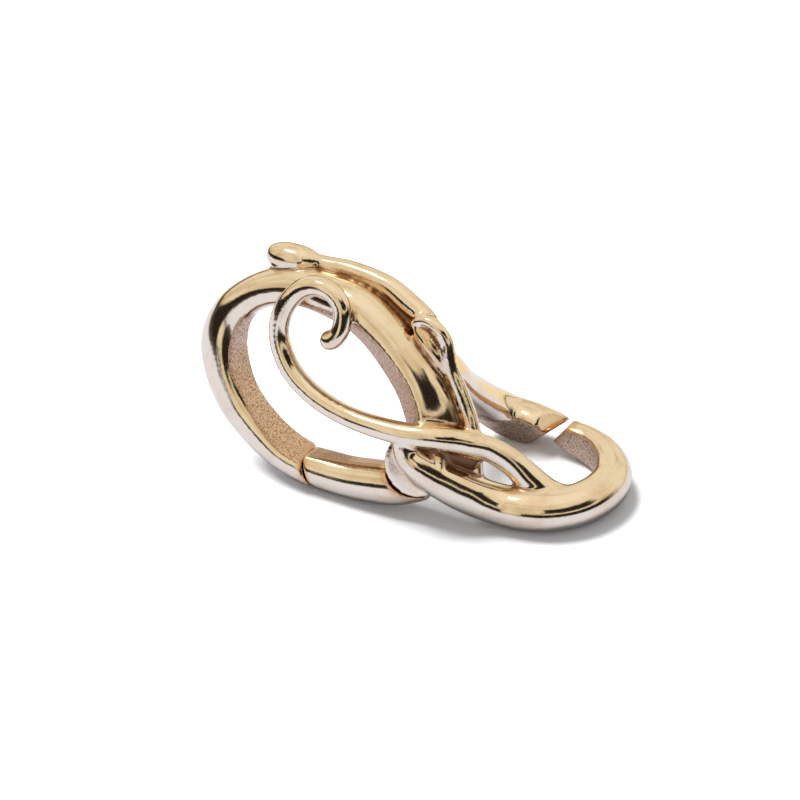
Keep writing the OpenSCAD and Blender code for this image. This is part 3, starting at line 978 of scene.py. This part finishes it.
class CLASP_OT_casting(bpy.types.Operator):
    """Draw the cast body: big ring, knuckle, arm, hook, tendril, knob, rail and bud"""
    bl_idname = "clasp.casting"
    bl_label = "Casting"

    def execute(self, context):
        sizes = context.scene.clasp_sizes
        metal = gold_material("cast_gold", context.scene.clasp_finish)
        pivot = pivot_place()
        knuckle_deep = sizes.ring_deep + CHEEK_STEP
        slot = drum("slot", sizes.knuckle_r + SLOT_PLAY, sizes.tongue + 2 * sizes.side_play,
                    pivot)
        bore = drum("bore", sizes.pin / 2 + PIN_FIT, PIN_REACH, pivot,
                    middle=knuckle_deep / 2 - FRONT_CHEEK - PIN_REACH / 2)

        ring = Wire([to_hole(row, sizes) for row in RING_ROWS]).moved(ring_place())
        hook = Wire([of_hook(row, sizes) for row in HOOK_ROWS])
        arm = Wire([of_hook(row, sizes) for row in ARM_ROWS])
        web = Wire([of_hook(row, sizes) for row in WEB_ROWS])
        look = tuple(forward())
        leaf = Wire([row[:3] + look + (row[3] * sizes.stem, row[3] * sizes.stem * LEAF_DEEP, 1)
                     for row in LEAF_ROWS])

        seam = drum("seam", sizes.seam_r + sizes.seam / 2, CUT_SIZE, pivot)
        end_place = ring_place() @ Matrix.Translation((*SEAM_END_AT, 0))
        seam_at = end_place.translation
        end = block("seam_end", SEAM_END_SIZE, end_place)
        cut(seam, end, operation="INTERSECT")
        ring_part = cut(ring.mesh("ring"), seam, slot)
        knuckle = cut(drum("knuckle", sizes.knuckle_r, knuckle_deep, pivot), slot, bore)
        hook_end = ARM_END + sizes.slit * ARM_END_OUT + HOOK_END_STEP
        hook_tip = cut_block(hook_end, HOOK_END_OUT)
        hook_part = cut(hook.mesh("hook"), hook_tip, slot)
        arm_tip = cut_block(ARM_END, ARM_END_OUT)
        arm_bevel = cut_block(ARM_BEVEL, ARM_BEVEL_OUT, BEVEL_SIZE)
        arm_part = cut(arm.mesh("arm"), arm_tip, arm_bevel)
        web_part = cut(web.mesh("web"), slot)

        round_parts = []
        round_wires = []
        for name, rows, size, stain_and_shade in ROUND_WIRES:
            wire = getattr(sizes, size)
            round_parts.append(round_wire(name, rows, wire, metal))
            drawn = Wire([row[:3] + look + (row[3] * wire, row[3] * wire, 1) for row in rows])
            round_wires.append((drawn, 0, stain_and_shade))
        away(slot, bore, seam, end, hook_tip, arm_tip, arm_bevel)

        parts = [ring_part, knuckle, hook_part, arm_part, web_part, leaf.mesh("leaf")]
        casting = one_skin("casting", parts + round_parts, sizes.casting_grid,
                           CASTING_PASSES)
        # The webs' stains are painted shade in the recess and the slots that they close.
        wires = [(ring, 1, 0), (hook, 1, 0), (arm, 1, 0), (web, 0, WEB_SHADE),
                 (leaf, 0, LEAF_STAIN)]
        matte, stain_and_shade = skins(casting.data, wires + round_wires)
        stain_and_shade = np.maximum.reduce((
            stain_and_shade,
            CUT_STAIN * near_plane(casting.data, ARM_END, ARM_END_OUT, BURN, CUT_SIZE / 2),
            CUT_STAIN * near_plane(casting.data, hook_end, HOOK_END_OUT, BURN, CUT_SIZE / 2),
            SEAM_STAIN * near_drum(casting.data, pivot, sizes.seam_r, BURN)
            * near_plane(casting.data, seam_at, forward(), CUT_SIZE, SEAM_SPAN)))
        settle(casting, metal, matte, stain_and_shade)
        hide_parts("frame")
        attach(casting, "clasp")
        return {"FINISHED"}


class CLASP_OT_gate(bpy.types.Operator):
    """Draw the push gate with its cupped end and tongue"""
    bl_idname = "clasp.gate"
    bl_label = "Gate"

    def execute(self, context):
        sizes = context.scene.clasp_sizes
        metal = gold_material("gate_gold", context.scene.clasp_finish)
        pivot = pivot_place()
        cup_r = sizes.knuckle_r + sizes.cup_gap
        wire = Wire([to_hole(row, sizes) for row in GATE_ROWS]).moved(ring_place())
        free_end = drum("free_end", sizes.seam_r - sizes.seam / 2, CUT_SIZE, pivot)
        cup = drum("cup", cup_r, CUT_SIZE, pivot)
        neck_reach = drum("neck_reach", cup_r + NECK_REACH, sizes.tongue, pivot)
        bore = drum("bore", sizes.pin / 2 + TONGUE_BORE_FIT, CUT_SIZE, pivot)
        body = cut(wire.mesh("gate_body"), free_end, operation="INTERSECT")
        cut(body, cup)
        neck = cut(wire.mesh("gate_neck"), neck_reach, operation="INTERSECT")
        cut(neck, bore)
        tongue = cut(drum("tongue", sizes.knuckle_r - TONGUE_PLAY, sizes.tongue, pivot), bore)
        away(free_end, cup, neck_reach, bore)
        gate = one_skin("push_gate", [body, neck, tongue], sizes.gate_grid, GATE_PASSES)
        matte = skins(gate.data, [(wire, GATE_MATTE, 0)])[0]
        stain_and_shade = np.maximum(SEAM_STAIN * near_drum(gate.data, pivot, sizes.seam_r, BURN),
                           CUT_STAIN * near_drum(gate.data, pivot, cup_r, BURN))
        settle(gate, metal, matte, stain_and_shade)
        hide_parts("gate")
        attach(gate, "gate")
        return {"FINISHED"}


class CLASP_OT_pin(bpy.types.Operator):
    """Give the hinge pin its polished gold"""
    bl_idname = "clasp.pin"
    bl_label = "Hinge pin"

    def execute(self, context):
        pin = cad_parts["hinge_pin"]
        metal = gold_material("pin_gold", context.scene.clasp_finish)
        pin.data.materials.clear()
        pin.data.materials.append(metal)
        return {"FINISHED"}


def table_paper(finish):
    """Paper with a painted reflection: the metal sees it end in the dark at a distance, with a
    warm card behind the clasp, and the camera sees plain paper everywhere.
    """
    paper = bpy.data.materials.new("table_paper")
    paper.use_nodes = True
    graph = Graph(paper.node_tree)
    out = graph.new("ShaderNodeOutputMaterial")
    shade = graph.new("ShaderNodeBsdfPrincipled")
    shade.inputs["Roughness"].default_value = PAPER_ROUGH
    shade.inputs["Specular IOR Level"].default_value = PAPER_SHINE
    graph.put(out.inputs["Surface"], shade.outputs["BSDF"])
    place = graph.new("ShaderNodeTexCoord").outputs["Object"]
    reach = graph.new("ShaderNodeVectorMath", operation="LENGTH")
    graph.put(reach.inputs[0], place)
    turn, y, _ = graph.bearing(place)
    gap = graph.window(turn, *radians(HORIZON_GAP))
    past = graph.between(reach.outputs["Value"], *PAPER_END)
    dark = graph.maths("MULTIPLY", past, graph.between(gap, 0.0, 1.0, 1.0, 0.0))
    # Painted reflection: the card and the dark past the paper's end show only to rays that are
    # not the camera's.
    paper_colour = graph.mixed(graph.between(y, *REFLECTED_CARD_START),
                               finish.table_in_metal, REFLECTED_CARD)
    seen = graph.mixed(dark, paper_colour, DARK_ROOM)
    camera_ray = graph.new("ShaderNodeLightPath").outputs["Is Camera Ray"]
    graph.put(shade.inputs["Base Color"], graph.mixed(camera_ray, seen, finish.table))
    return paper


def studio_world(finish):
    """A bright dome with dimmer folds, brighter behind the clasp and overhead, above a dark
    horizon on the camera's side, with a dark screen at the front right."""
    world = bpy.data.worlds.new("studio")
    world.use_nodes = True
    graph = Graph(world.node_tree)
    out = graph.new("ShaderNodeOutputWorld")
    light = graph.new("ShaderNodeBackground")
    graph.put(out.inputs["Surface"], light.outputs["Background"])
    toward = graph.new("ShaderNodeTexCoord").outputs["Generated"]
    turn, _, z = graph.bearing(toward)
    swing = graph.maths("SUBTRACT", graph.noise(toward, *RAGGED), 0.5)
    ragged_turn = graph.maths("MULTIPLY_ADD", swing, RAGGED_TURN, turn)
    ragged_z = graph.maths("MULTIPLY_ADD", swing, RAGGED_RISE, z)
    aside = graph.maths("ABSOLUTE", turn)
    behind = graph.between(aside, *radians(BEHIND))
    dome = graph.mixed(behind, finish.dome, finish.dome_behind)
    folds = graph.between(graph.noise(toward, *FOLDS), *FOLDS_EDGE)
    dome = graph.mixed(folds, dome, finish.dome_dim)
    dome = graph.mixed(graph.between(z, *OVERHEAD), dome, finish.dome_top)
    room = graph.mixed(behind, DARK_ROOM, finish.dome)
    rise = graph.between(turn, *radians(HORIZON_TURN), *HORIZON)
    gap = graph.window(turn, *radians(HORIZON_GAP))
    rise = graph.maths("MULTIPLY", rise, graph.between(gap, 0.0, 1.0, 1.0, GAP_SHARE))
    top = graph.maths("ADD", rise, HORIZON_EDGE)
    bright = graph.mixed(graph.between(ragged_z, rise, top), room, dome)
    for turns, rises in SCREENS:
        across = graph.window(ragged_turn, *radians(turns))
        heights = [math.sin(angle) for angle in radians(rises)]
        screen = graph.maths("MULTIPLY", across, graph.window(ragged_z, *heights))
        bright = graph.mixed(screen, bright, DARK_ROOM)
    on_paper = graph.new("ShaderNodeLightPath").outputs["Is Diffuse Ray"]
    graph.put(light.inputs["Color"], graph.mixed(on_paper, bright, DOME_ON_PAPER))
    return world


def studio_lamp(name, place, size, power, in_metal):
    """A round lamp that shines on the clasp from a place."""
    lamp = bpy.data.lights.new(name, "AREA")
    lamp.shape = "DISK"
    lamp.size = size
    lamp.energy = power
    box = link(name, lamp)
    box.location = place
    box.rotation_euler = Vector(place).to_track_quat("Z", "Y").to_euler()
    box.visible_glossy = in_metal
    return box


def studio_camera(finish):
    """A long lens that frames the clasp as the photograph does."""
    azimuth = finish.camera_turn
    elevation = finish.camera_rise
    right = Vector((math.cos(azimuth), math.sin(azimuth), 0))
    back = Vector((math.sin(azimuth) * math.cos(elevation),
                   -math.cos(azimuth) * math.cos(elevation), math.sin(elevation)))
    up = back.cross(right)
    aim = (Vector(REST_SHIFT) + right * AIM[0] + up * AIM[1]) * MM
    sight = bpy.data.cameras.new("camera")
    sight.lens = LENS
    sight.sensor_width = SENSOR
    sight.clip_start, sight.clip_end = CLIP
    camera = link("camera", sight)
    span = FRAME_PIXELS / PIXELS_PER_MM * MM
    camera.location = aim + back * (span * sight.lens / sight.sensor_width)
    camera.rotation_euler = Matrix((right, up, back)).transposed().to_euler()
    return camera


class CLASP_OT_stage(bpy.types.Operator):
    """Set the pale table, the soft studio light and the camera"""
    bl_idname = "clasp.stage"
    bl_label = "Stage"

    def execute(self, context):
        scene = context.scene
        finish = scene.clasp_finish
        corners = [(x * TABLE_HALF, y * TABLE_HALF, 0)
                   for x, y in ((-1, -1), (1, -1), (1, 1), (-1, 1))]
        table = solid("studio_table", corners, [(0, 1, 2, 3)])
        table.data.materials.append(table_paper(finish))
        scene.world = studio_world(finish)
        for row in LAMPS:
            box = studio_lamp(*row)
        scene.camera = studio_camera(finish)
        scene.view_settings.view_transform = "Standard"
        scene.view_settings.look = "None"
        return {"FINISHED"}


class CLASP_PT_panel(bpy.types.Panel):
    """The clasp's pieces in the sidebar"""
    bl_label = "Clasp"
    bl_idname = "CLASP_PT_panel"
    bl_space_type = "VIEW_3D"
    bl_region_type = "UI"
    bl_category = "Clasp"

    def draw(self, context):
        for operator in OPERATORS:
            self.layout.operator(operator.bl_idname)
        for group in (context.scene.clasp_sizes, context.scene.clasp_finish):
            for name in group.__annotations__:
                self.layout.prop(group, name)


OPERATORS = (CLASP_OT_casting, CLASP_OT_gate, CLASP_OT_pin, CLASP_OT_stage)
CLASSES = (ClaspSizes, ClaspFinish, *OPERATORS, CLASP_PT_panel)


def register():
    for cls in CLASSES:
        bpy.utils.register_class(cls)
    bpy.types.Scene.clasp_sizes = bpy.props.PointerProperty(type=ClaspSizes)
    bpy.types.Scene.clasp_finish = bpy.props.PointerProperty(type=ClaspFinish)


def unregister():
    del bpy.types.Scene.clasp_finish
    del bpy.types.Scene.clasp_sizes
    for cls in reversed(CLASSES):
        bpy.utils.unregister_class(cls)


def main():
    register()
    bpy.ops.clasp.casting()
    bpy.ops.clasp.gate()
    bpy.ops.clasp.pin()
    bpy.ops.clasp.stage()


if __name__ == "__main__":
    main()
